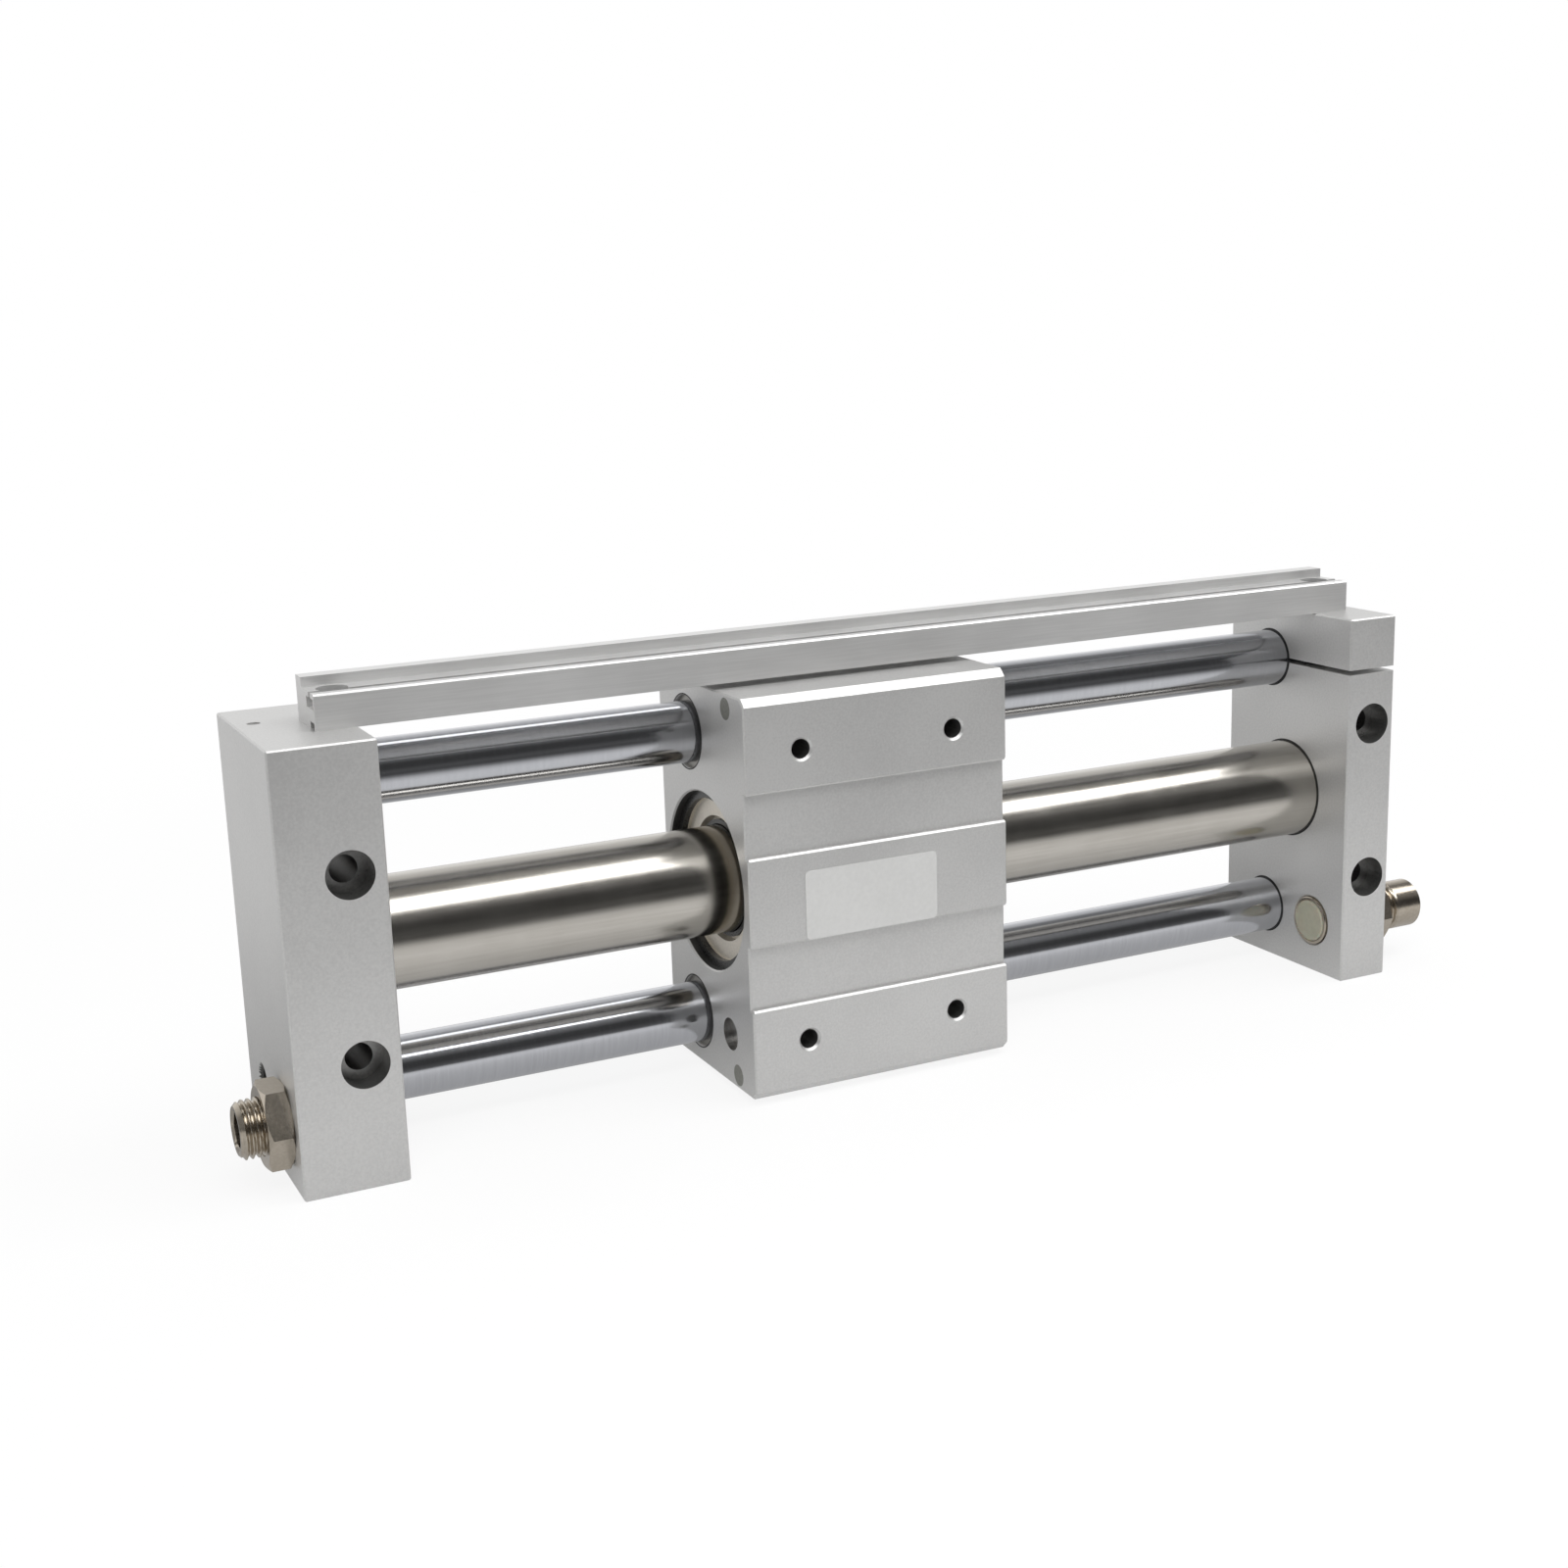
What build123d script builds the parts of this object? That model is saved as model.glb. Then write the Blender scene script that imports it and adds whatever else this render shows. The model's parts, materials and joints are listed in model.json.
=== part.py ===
from build123d import *
import os
from math import radians, tan

# Rodless air cylinder with two guide shafts, in millimetres.
# The origin is the centre of the four body bolts on the mounting face.
# X runs along the stroke, Y points into the machine it is bolted to, Z points to the switch rail.

# Stroke and end stops
stroke = 200.0
rest_offset = -12.2
stop_clearance = 0.1
bumper_proud = 0.9

# Clearances
running_clearance = 0.03
seat_clearance = 0.03
thread_clearance = 0.05
bolt_clearance = 0.2
stack_clearance = 0.1
hole_overrun = 1.0

# End plates
plate_depth = 52.5
plate_height = 105.5
left_plate_thickness = 25.0
right_plate_thickness = 16.0
plate_edge_chamfer = 0.4
seat_depth = 10.0

# Body bolts, through the plates from the front
body_bolt_inset = 8.5
body_bolt_margin = 30.25
body_bolt_hole_radius = 3.3
body_bolt_head_radius = 5.75
body_bolt_head_depth = 6.5

# Cylinder tube and guide shafts
tube_outer_radius = 13.9
tube_wall = 1.4
tube_setback = 26.5
shaft_radius = 8.0
shaft_bore_radius = 3.5
shaft_margin = 15.05
shaft_setback = 18.1
shaft_end_recess = 1.0

# Clamp slit of the right plate
slit_width = 1.4

# Air passages
port_radius = 4.3
port_mouth_chamfer = 1.0
side_port_setback = 16.2
side_port_rise = 1.6
bottom_port_depth = 8.5
bottom_port_setback = 27.5
air_chamber_radius = 9.0
left_chamber_wall = 3.0
right_chamber_wall = 1.4
left_passage_radius = 1.5
right_passage_radius = 1.0
right_passage_wall = 1.4
right_passage_setback = 20.0
top_passage_radius = 1.0
top_passage_inset = 20.2
top_passage_setback = 19.0
plug_wall = 0.6
plug_length = 3.5
plug_recess = 0.2

# Seals
tube_seal_section = 1.8
shaft_seal_section = 1.4
seal_groove_room = 0.4
seal_inset = 7.5

# Stop bolts, lock nuts and bumpers
stop_setback = 38.9
stop_margin = 15.05
stop_bolt_radius = 7.0
stop_bolt_length = 37.1
stop_bolt_proud = 0.5
stop_bolt_chamfer = 1.2
stop_hole_chamfer = 0.5
stop_socket_across = 8.0
stop_socket_depth = 8.0
stop_nut_across = 19.0
stop_nut_thickness = 6.0
stop_nut_chamfer = 1.5
stop_nut_chamfer_angle = 30
bumper_radius = 6.0
bumper_pocket_depth = 3.6
bumper_edge = 0.4

# Set screws that hold the shafts
set_screw_radius = 2.5
set_screw_inset = 3.5
set_screw_recess = 1.2
set_screw_socket_across = 2.5
set_screw_socket_depth = 2.5

# Switch rail
rail_width = 16.3
rail_front_height = 8.4
rail_back_height = 10.8
rail_wall_start = 11.4
rail_left_reach = 10.0
rail_right_reach = 11.2
rail_lip = 1.2
rail_slot_start = 3.0
rail_slot_width = 2.0
rail_cavity_width = 6.3
rail_cavity_height = 2.5
rail_groove_start = 1.2
rail_groove_width = 3.6
rail_groove_depth = 1.6
rail_edge_chamfer = 0.4
rail_fixing_offset = 6.8
rail_fixing_floor = 2.5

# Rail screw and clamp screw
screw_radius = 2.0
screw_head_radius = 3.5
screw_head_height = 2.2
screw_head_clearance = 0.25
screw_socket_across = 2.5
screw_socket_depth = 1.2
rail_screw_inset = 4.0
rail_screw_length = 10.0
clamp_screw_inset = 5.0
clamp_screw_offset = 12.2
clamp_screw_length = 25.0

# Slide block
block_length = 74.0
block_front_wall = 3.5
block_back_wall = 2.1
block_margin = 1.45
block_front_chamfer = 2.0
block_edge_chamfer = 0.4
pad_edge_chamfer = 0.5
groove_depth = 1.5
groove_low = 11.5
groove_high = 27.5
magnet_bore_radius = 23.3
mouth_chamfer = 0.4
table_hole_radius = 2.5
table_hole_rim_radius = 3.1
table_hole_depth = 12.0
table_hole_length_pitch = 43.0
table_hole_margin = 13.8
stop_pocket_radius = 4.25
stop_pocket_depth = 2.0
switch_magnet_radius = 2.8
switch_magnet_length = 4.0
switch_magnet_margin = 3.7
switch_magnet_setback = 42.9

# Shaft bushes
bush_wall = 1.5
bush_length = 16.0
bush_recess = 1.0
bush_edge_chamfer = 0.35

# Retaining rings
ring_inset = 2.2
ring_thickness = 1.5
ring_section = 3.0
ring_bite = 0.9
ring_groove_room = 0.2
ring_side_clearance = 0.1
ring_gap = 12.0
ring_lug_hole_radius = 0.9
ring_lug_wall = 1.0

# End spacers, gland rings, scrapers and wear rings of the slide block
spacer_face_inset = 4.4
spacer_length = 6.6
spacer_lip_step = 2.1
spacer_mouth_room = 1.1
spacer_mouth_depth = 2.5
gland_clearance = 0.25
gland_wall = 1.15
gland_inset = 5.2
gland_length = 2.2
scraper_length = 1.2

# Magnet stacks
magnet_count = 4
yoke_length = 4.0
outer_stack_clearance = 0.8
inner_yoke_clearance = 0.3
inner_magnet_clearance = 0.5
inner_stack_bore_clearance = 0.1

# Piston
piston_length = 14.0
piston_clearance = 0.2
piston_shaft_radius = 3.0
piston_shaft_overhang = 1.0
piston_ring_inset = 2.0
piston_ring_length = 4.0
piston_ring_depth = 1.0
piston_seal_inset = 8.5
piston_seal_length = 3.0
piston_seal_depth = 2.0
piston_nut_across = 10.0
piston_nut_thickness = 4.0

# Places worked out from the sizes above
inner_span = stroke + block_length + 2 * (bumper_proud + stop_clearance)
left_inner = -inner_span / 2
left_outer = left_inner - left_plate_thickness
right_inner = inner_span / 2
right_outer = right_inner + right_plate_thickness
plate_top = plate_height / 2
plate_front = -plate_depth
body_bolt_pitch = plate_height - 2 * body_bolt_margin
tube_y = -tube_setback
tube_bore_radius = tube_outer_radius - tube_wall
shaft_y = -shaft_setback
shaft_z = plate_height / 2 - shaft_margin
stop_y = -stop_setback
stop_z = stop_margin - plate_height / 2
block_centre = rest_offset
half_block = block_length / 2
block_left = block_centre - half_block
block_right = block_centre + half_block
block_front = tube_y - magnet_bore_radius - block_front_wall
block_back = tube_y + magnet_bore_radius + block_back_wall
block_top = plate_height / 2 - block_margin
table_hole_height_pitch = 2 * (block_top - table_hole_margin)
switch_magnet_z = block_top - switch_magnet_margin
stack_half = half_block - spacer_face_inset - spacer_length
magnet_length = (2 * stack_half - (magnet_count + 1) * yoke_length) / magnet_count
stack_outer_radius = magnet_bore_radius - stack_clearance
outer_stack_inner_radius = tube_outer_radius + outer_stack_clearance
inner_yoke_radius = tube_bore_radius - inner_yoke_clearance
inner_magnet_radius = tube_bore_radius - inner_magnet_clearance
gland_inner_radius = tube_outer_radius + gland_clearance
gland_outer_radius = gland_inner_radius + gland_wall
spacer_mouth_radius = gland_outer_radius + spacer_mouth_room
spacer_lip_radius = magnet_bore_radius - spacer_lip_step
ring_outer_radius = magnet_bore_radius + ring_bite
ring_inner_radius = ring_outer_radius - ring_section
ring_groove_radius = ring_outer_radius + ring_groove_room
ring_groove_width = ring_thickness + ring_side_clearance
piston_radius = tube_bore_radius - piston_clearance
rail_left = left_inner - rail_left_reach
rail_right = right_inner + rail_right_reach
rail_screw_x = left_inner - rail_screw_inset
clamp_screw_x = right_inner + clamp_screw_inset
rail_screw_y = shaft_y - clamp_screw_offset
rail_front = rail_screw_y - rail_fixing_offset
rail_fixing_bore_radius = screw_head_radius + screw_head_clearance
rail_seat = plate_top + rail_fixing_floor
left_chamber_depth = left_plate_thickness - left_chamber_wall
right_chamber_depth = right_plate_thickness - right_chamber_wall
right_passage_x = right_outer - right_passage_wall - right_passage_radius
top_passage_x = left_inner - top_passage_inset
bottom_port_x = (left_outer + left_inner - seat_depth) / 2
side_port_z = side_port_rise - shaft_z

ALONG_X = (0, 90, 0)
FROM_BACK = (90, 0, 0)
BASE = (Align.CENTER, Align.CENTER, Align.MIN)

pieces = {}


def drill_x(start, end, y, z, radius):
    """Cut a round hole along X from start to end."""
    with Locations(Location((start, y, z), ALONG_X)):
        Cylinder(radius, end - start, align=BASE, mode=Mode.SUBTRACT)


def drill_z(x, y, bottom, top, radius):
    """Cut a round hole along Z from bottom to top."""
    with Locations((x, y, bottom)):
        Cylinder(radius, top - bottom, align=BASE, mode=Mode.SUBTRACT)


def drill_from_back(x, z, depth, radius):
    """Cut a round hole into the mounting face."""
    with Locations(Location((x, 0, z), FROM_BACK)):
        Cylinder(radius, depth, align=BASE, mode=Mode.SUBTRACT)


def turned(points, centre_x, y, z, side=1):
    """A turned piece from (distance along X, radius) points around an axis along X."""
    with BuildPart() as piece:
        with BuildSketch(Plane(origin=(centre_x, y, z), x_dir=(1, 0, 0), z_dir=(0, 0, 1))):
            with BuildLine():
                Polyline(*[(side * along, radius) for along, radius in points], close=True)
            make_face()
        revolve(axis=Axis((centre_x, y, z), (1, 0, 0)))
    return piece.part


def sleeve(start, end, y, z, outer, inner):
    """A plain ring or tube along X between two places."""
    with BuildPart() as piece:
        with BuildSketch(Plane.YZ.offset(start)):
            with Locations((y, z)):
                Circle(outer)
                if inner > 0:
                    Circle(inner, mode=Mode.SUBTRACT)
        extrude(amount=end - start)
    return piece.part


def plate_blank(outer_face, thickness):
    """The plain end plate with broken edges."""
    with BuildPart() as blank:
        with BuildSketch(Plane.YZ.offset(outer_face)):
            with Locations((-plate_depth / 2, 0)):
                Rectangle(plate_depth, plate_height)
        extrude(amount=thickness)
        chamfer(blank.edges(), plate_edge_chamfer)
    return blank.part


def cut_body_bolt_holes(x):
    """Two counterbored holes from the front face, right through to the mounting face."""
    front = Plane(origin=(x, plate_front, 0), x_dir=(1, 0, 0), z_dir=(0, -1, 0))
    with Locations(front):
        with GridLocations(1, body_bolt_pitch, 1, 2):
            CounterBoreHole(
                radius=body_bolt_hole_radius,
                counter_bore_radius=body_bolt_head_radius,
                counter_bore_depth=body_bolt_head_depth,
                depth=plate_depth,
            )


def cut_seal_groove(x, y, z, seat_radius, section):
    """An O-ring groove inside a seat."""
    width = section + seal_groove_room
    drill_x(x - width / 2, x + width / 2, y, z, seat_radius + section)


def break_mouth(face_x, y, z, radius, size, outward):
    """Break the mouth of a hole along X in a face that looks outward along X."""
    with Locations(Location((face_x, y, z), (0, -90 * outward, 0))):
        Cone(radius + size, radius, size, align=BASE, mode=Mode.SUBTRACT)


def cut_stop_hole(inner_face, outer_face, outward):
    """The tapped hole of a stop bolt with its broken mouth on the inner face."""
    radius = stop_bolt_radius + thread_clearance
    drill_x(min(inner_face, outer_face), max(inner_face, outer_face), stop_y, stop_z, radius)
    break_mouth(inner_face, stop_y, stop_z, radius, stop_hole_chamfer, outward)


# Left end plate
tube_seat_radius = tube_outer_radius + seat_clearance
shaft_seat_radius = shaft_radius + seat_clearance
set_screw_hole_depth = shaft_setback - shaft_radius + hole_overrun

with BuildPart() as left_end_plate:
    add(plate_blank(left_outer, left_plate_thickness))
    cut_body_bolt_holes(left_inner - body_bolt_inset)
    drill_x(left_inner - seat_depth, left_inner, tube_y, 0, tube_seat_radius)
    drill_x(left_inner - left_chamber_depth, left_inner, tube_y, 0, air_chamber_radius)
    cut_seal_groove(left_inner - seal_inset, tube_y, 0, tube_outer_radius, tube_seal_section)
    for side in (1, -1):
        drill_x(left_inner - seat_depth, left_inner, shaft_y, side * shaft_z, shaft_seat_radius)
        drill_from_back(
            left_inner - set_screw_inset, side * shaft_z,
            set_screw_hole_depth, set_screw_radius + thread_clearance,
        )
    cut_seal_groove(left_inner - seal_inset, shaft_y, -shaft_z, shaft_radius, shaft_seal_section)
    drill_x(left_outer, left_inner - seat_depth, -side_port_setback, side_port_z, port_radius)
    break_mouth(left_outer, -side_port_setback, side_port_z, port_radius, port_mouth_chamfer, -1)
    drill_z(bottom_port_x, -bottom_port_setback, -plate_top, -plate_top + bottom_port_depth, port_radius)
    drill_z(bottom_port_x, -bottom_port_setback, -plate_top, -air_chamber_radius / 2, left_passage_radius)
    drill_z(top_passage_x, -top_passage_setback, 0, plate_top, top_passage_radius)
    drill_z(
        top_passage_x, -top_passage_setback,
        plate_top - plug_recess - plug_length, plate_top, top_passage_radius + plug_wall,
    )
    cut_stop_hole(left_inner, left_outer, 1)
    drill_z(
        rail_screw_x, rail_screw_y,
        rail_seat - rail_screw_length - hole_overrun, plate_top, screw_radius + thread_clearance,
    )
pieces["left_end_plate"] = left_end_plate.part

# Right end plate, with the clamp slit
with BuildPart() as right_end_plate:
    add(plate_blank(right_inner, right_plate_thickness))
    cut_body_bolt_holes(right_inner + body_bolt_inset)
    drill_x(right_inner, right_inner + seat_depth, tube_y, 0, tube_seat_radius)
    drill_x(right_inner, right_inner + right_chamber_depth, tube_y, 0, air_chamber_radius)
    cut_seal_groove(right_inner + seal_inset, tube_y, 0, tube_outer_radius, tube_seal_section)
    drill_x(right_inner, right_outer, shaft_y, shaft_z, shaft_seat_radius)
    drill_x(right_inner, right_inner + seat_depth, shaft_y, -shaft_z, shaft_seat_radius)
    drill_x(right_inner, right_inner + right_chamber_depth, shaft_y, -shaft_z, shaft_bore_radius)
    cut_seal_groove(right_inner + seal_inset, shaft_y, -shaft_z, shaft_radius, shaft_seal_section)
    drill_from_back(
        right_inner + set_screw_inset, -shaft_z,
        set_screw_hole_depth, set_screw_radius + thread_clearance,
    )
    drill_z(right_passage_x, -right_passage_setback, -plate_top, 0, right_passage_radius)
    drill_z(
        right_passage_x, -right_passage_setback,
        -plate_top, -plate_top + plug_recess + plug_length, right_passage_radius + plug_wall,
    )
    cut_stop_hole(right_inner, right_outer, -1)
    with Locations((right_inner, shaft_y, shaft_z)):
        Box(
            right_plate_thickness, plate_depth - shaft_setback, slit_width,
            align=(Align.MIN, Align.MAX, Align.CENTER), mode=Mode.SUBTRACT,
        )
    drill_z(
        clamp_screw_x, rail_screw_y, rail_seat - clamp_screw_length - hole_overrun, shaft_z,
        screw_radius + thread_clearance,
    )
    drill_z(clamp_screw_x, rail_screw_y, shaft_z, plate_top, screw_radius + bolt_clearance)
pieces["right_end_plate"] = right_end_plate.part

# Cylinder tube and guide shafts
pieces["cylinder_tube"] = sleeve(
    left_inner - seat_depth, right_inner + seat_depth, tube_y, 0, tube_outer_radius, tube_bore_radius
)
pieces["upper_guide_shaft"] = sleeve(
    left_inner - seat_depth, right_outer - shaft_end_recess, shaft_y, shaft_z, shaft_radius, 0
)
pieces["lower_guide_shaft"] = sleeve(
    left_inner - seat_depth, right_inner + seat_depth, shaft_y, -shaft_z, shaft_radius, shaft_bore_radius
)

# O-rings in the plates' seats
with BuildPart() as tube_seals:
    for x in (left_inner - seal_inset, right_inner + seal_inset):
        with Locations(Location((x, tube_y, 0), ALONG_X)):
            Torus(tube_outer_radius + tube_seal_section / 2, tube_seal_section / 2)
pieces["tube_seals"] = tube_seals.part

with BuildPart() as shaft_seals:
    for x in (left_inner - seal_inset, right_inner + seal_inset):
        with Locations(Location((x, shaft_y, -shaft_z), ALONG_X)):
            Torus(shaft_radius + shaft_seal_section / 2, shaft_seal_section / 2)
pieces["shaft_seals"] = shaft_seals.part

# Set screws from the mounting face onto the shafts
set_screw_places = (
    (left_inner - set_screw_inset, shaft_z),
    (left_inner - set_screw_inset, -shaft_z),
    (right_inner + set_screw_inset, -shaft_z),
)
with BuildPart() as shaft_set_screws:
    for x, z in set_screw_places:
        with Locations(Location((x, -set_screw_recess, z), FROM_BACK)):
            Cylinder(set_screw_radius, shaft_setback - shaft_radius - set_screw_recess, align=BASE)
        with BuildSketch(Plane(origin=(x, -set_screw_recess, z), x_dir=(1, 0, 0), z_dir=(0, -1, 0))):
            RegularPolygon(set_screw_socket_across / 2, 6, major_radius=False)
        extrude(amount=set_screw_socket_depth, mode=Mode.SUBTRACT)
pieces["shaft_set_screws"] = shaft_set_screws.part

# Pressed plugs of the drilled air passages
with BuildPart() as passage_plugs:
    with Locations((top_passage_x, -top_passage_setback, plate_top - plug_recess - plug_length)):
        Cylinder(top_passage_radius + plug_wall, plug_length, align=BASE)
    with Locations((right_passage_x, -right_passage_setback, -plate_top + plug_recess)):
        Cylinder(right_passage_radius + plug_wall, plug_length, align=BASE)
pieces["passage_plugs"] = passage_plugs.part


def stop_bolt(inner_face, outward):
    """A stop bolt: bumper pocket at the inner end, hexagon socket at the outer end."""
    inner_end = inner_face - outward * stop_bolt_proud
    outer_end = inner_end + outward * stop_bolt_length
    with BuildPart() as bolt:
        with BuildSketch(Plane.YZ.offset(inner_end)):
            with Locations((stop_y, stop_z)):
                Circle(stop_bolt_radius)
        extrude(amount=outward * stop_bolt_length)
        ends = bolt.edges().filter_by(GeomType.CIRCLE).sort_by(Axis.X)
        chamfer(ends[-1] if outward > 0 else ends[0], stop_bolt_chamfer)
        with BuildSketch(Plane.YZ.offset(inner_end)):
            with Locations((stop_y, stop_z)):
                Circle(bumper_radius)
        extrude(amount=outward * bumper_pocket_depth, mode=Mode.SUBTRACT)
        with BuildSketch(Plane.YZ.offset(outer_end)):
            with Locations((stop_y, stop_z)):
                RegularPolygon(stop_socket_across / 2, 6, major_radius=False)
        extrude(amount=-outward * stop_socket_depth, mode=Mode.SUBTRACT)
    return bolt.part


def stop_nut(outer_face, outward):
    """A thin hexagon nut with turned-off corners against the plate's outer face."""
    corner_radius = stop_nut_across / 3**0.5
    drop = stop_nut_chamfer * tan(radians(stop_nut_chamfer_angle))
    far = stop_nut_thickness
    profile = [
        (0, 0),
        (0, corner_radius - stop_nut_chamfer),
        (drop, corner_radius),
        (far - drop, corner_radius),
        (far, corner_radius - stop_nut_chamfer),
        (far, 0),
    ]
    with BuildPart() as nut:
        with BuildSketch(Plane.YZ.offset(outer_face)):
            with Locations((stop_y, stop_z)):
                RegularPolygon(stop_nut_across / 2, 6, major_radius=False)
                Circle(stop_bolt_radius + thread_clearance, mode=Mode.SUBTRACT)
        extrude(amount=outward * stop_nut_thickness)
        add(turned(profile, outer_face, stop_y, stop_z, outward), mode=Mode.INTERSECT)
    return nut.part


def stop_bumper(inner_face, outward):
    """The urethane disc in the stop bolt's pocket."""
    seat = inner_face + outward * (bumper_pocket_depth - stop_bolt_proud)
    length = bumper_pocket_depth - stop_bolt_proud + bumper_proud
    profile = [
        (0, 0),
        (0, bumper_radius),
        (length - bumper_edge, bumper_radius),
        (length, bumper_radius - bumper_edge),
        (length, 0),
    ]
    return turned(profile, seat, stop_y, stop_z, -outward)


for name, inner_face, outer_face, outward in (
    ("left", left_inner, left_outer, -1),
    ("right", right_inner, right_outer, 1),
):
    pieces[f"{name}_stop_bolt"] = stop_bolt(inner_face, outward)
    pieces[f"{name}_stop_nut"] = stop_nut(outer_face, outward)
    pieces[f"{name}_stop_bumper"] = stop_bumper(inner_face, outward)

# Switch rail: an extruded profile with an open T-slot and a raised back wall
slot_end = rail_slot_start + rail_slot_width
cavity_start = rail_slot_start - (rail_cavity_width - rail_slot_width) / 2
cavity_end = cavity_start + rail_cavity_width
cavity_top = rail_front_height - rail_lip
cavity_floor = cavity_top - rail_cavity_height
groove_end = rail_groove_start + rail_groove_width
rail_profile = [
    (0, 0),
    (rail_groove_start, 0),
    (rail_groove_start, rail_groove_depth),
    (groove_end, rail_groove_depth),
    (groove_end, 0),
    (rail_width, 0),
    (rail_width, rail_back_height),
    (rail_wall_start, rail_back_height),
    (rail_wall_start, rail_front_height),
    (slot_end, rail_front_height),
    (slot_end, cavity_top),
    (cavity_end, cavity_top),
    (cavity_end, cavity_floor),
    (cavity_start, cavity_floor),
    (cavity_start, cavity_top),
    (rail_slot_start, cavity_top),
    (rail_slot_start, rail_front_height),
    (rail_edge_chamfer, rail_front_height),
    (0, rail_front_height - rail_edge_chamfer),
]
with BuildPart() as switch_rail:
    with BuildSketch(Plane.YZ.offset(rail_left)):
        with BuildLine():
            Polyline(*[(rail_front + y, plate_top + z) for y, z in rail_profile], close=True)
        make_face()
    extrude(amount=rail_right - rail_left)
    for x in (rail_screw_x, clamp_screw_x):
        drill_z(x, rail_screw_y, plate_top, rail_seat, screw_radius + bolt_clearance)
        drill_z(x, rail_screw_y, rail_seat, plate_top + rail_front_height, rail_fixing_bore_radius)
pieces["switch_rail"] = switch_rail.part


def rail_fixing(x, length):
    """A low-head socket screw, its head at the bottom of the rail's counterbore."""
    with BuildPart() as screw:
        with Locations((x, rail_screw_y, rail_seat - length)):
            Cylinder(screw_radius, length, align=BASE)
        with Locations((x, rail_screw_y, rail_seat)):
            Cylinder(screw_head_radius, screw_head_height, align=BASE)
        with BuildSketch(Plane.XY.offset(rail_seat + screw_head_height)):
            with Locations((x, rail_screw_y)):
                RegularPolygon(screw_socket_across / 2, 6, major_radius=False)
        extrude(amount=-screw_socket_depth, mode=Mode.SUBTRACT)
    return screw.part


pieces["rail_screw"] = rail_fixing(rail_screw_x, rail_screw_length)
pieces["clamp_screw"] = rail_fixing(clamp_screw_x, clamp_screw_length)

# Slide block
upper_outline = [
    (block_back, block_top),
    (block_front + block_front_chamfer, block_top),
    (block_front, block_top - block_front_chamfer),
    (block_front, groove_high + pad_edge_chamfer),
    (block_front + pad_edge_chamfer, groove_high),
    (block_front + groove_depth, groove_high),
    (block_front + groove_depth, groove_low),
    (block_front + pad_edge_chamfer, groove_low),
    (block_front, groove_low - pad_edge_chamfer),
]
lower_outline = [(y, -z) for y, z in reversed(upper_outline)]
mouth_radius = magnet_bore_radius + mouth_chamfer
groove_edge = half_block - ring_inset
half_bore = [
    (half_block, mouth_radius),
    (half_block - mouth_chamfer, magnet_bore_radius),
    (groove_edge, magnet_bore_radius),
    (groove_edge, ring_groove_radius),
    (groove_edge - ring_groove_width, ring_groove_radius),
    (groove_edge - ring_groove_width, magnet_bore_radius),
]
bore_outline = [
    (half_block, 0),
    *half_bore,
    *[(-along, radius) for along, radius in reversed(half_bore)],
    (-half_block, 0),
]
bush_outer_radius = shaft_radius + running_clearance + bush_wall

with BuildPart() as slide_block:
    with BuildSketch(Plane.YZ.offset(block_left)):
        with BuildLine():
            Polyline(*upper_outline, *lower_outline, close=True)
        make_face()
    extrude(amount=block_length)
    for end_face in (slide_block.faces().sort_by(Axis.X)[0], slide_block.faces().sort_by(Axis.X)[-1]):
        chamfer(end_face.edges(), block_edge_chamfer)
    with BuildSketch(Plane(origin=(block_centre, tube_y, 0), x_dir=(1, 0, 0), z_dir=(0, 0, 1))):
        with BuildLine():
            Polyline(*bore_outline, close=True)
        make_face()
    revolve(axis=Axis((block_centre, tube_y, 0), (1, 0, 0)), mode=Mode.SUBTRACT)
    for z in (shaft_z, -shaft_z):
        drill_x(block_left, block_right, shaft_y, z, bush_outer_radius)
        break_mouth(block_left, shaft_y, z, bush_outer_radius, bush_edge_chamfer, -1)
        break_mouth(block_right, shaft_y, z, bush_outer_radius, bush_edge_chamfer, 1)
    drill_x(block_left, block_left + stop_pocket_depth, stop_y, stop_z, stop_pocket_radius)
    drill_x(block_right - stop_pocket_depth, block_right, stop_y, stop_z, stop_pocket_radius)
    for z in (switch_magnet_z, -switch_magnet_z):
        y = -switch_magnet_setback
        drill_x(block_left, block_left + switch_magnet_length, y, z, switch_magnet_radius)
        drill_x(block_right - switch_magnet_length, block_right, y, z, switch_magnet_radius)
    table = Plane(origin=(block_centre, block_front, 0), x_dir=(1, 0, 0), z_dir=(0, -1, 0))
    with Locations(table):
        with GridLocations(table_hole_length_pitch, table_hole_height_pitch, 2, 2):
            CounterSinkHole(
                radius=table_hole_radius,
                counter_sink_radius=table_hole_rim_radius,
                depth=table_hole_depth,
                counter_sink_angle=90,
            )
pieces["slide_block"] = slide_block.part

# Switch magnets, flush in the end faces
with BuildPart() as switch_magnets:
    for x in (block_left, block_right - switch_magnet_length):
        for z in (switch_magnet_z, -switch_magnet_z):
            with Locations(Location((x, -switch_magnet_setback, z), ALONG_X)):
                Cylinder(switch_magnet_radius, switch_magnet_length, align=BASE)
pieces["switch_magnets"] = switch_magnets.part

# What sits at each end of the slide block
spacer_face = half_block - spacer_face_inset
spacer_profile = [
    (stack_half, gland_outer_radius),
    (spacer_face - spacer_mouth_depth, gland_outer_radius),
    (spacer_face - spacer_mouth_depth, spacer_mouth_radius),
    (spacer_face, spacer_mouth_radius),
    (spacer_face, spacer_lip_radius),
    (groove_edge - ring_groove_width, spacer_lip_radius),
    (groove_edge - ring_groove_width, stack_outer_radius),
    (stack_half, stack_outer_radius),
]
gland_front = half_block - gland_inset
gland_back = gland_front - gland_length
scraper_back = gland_back - scraper_length
slide_fit_radius = tube_outer_radius + running_clearance


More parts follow.
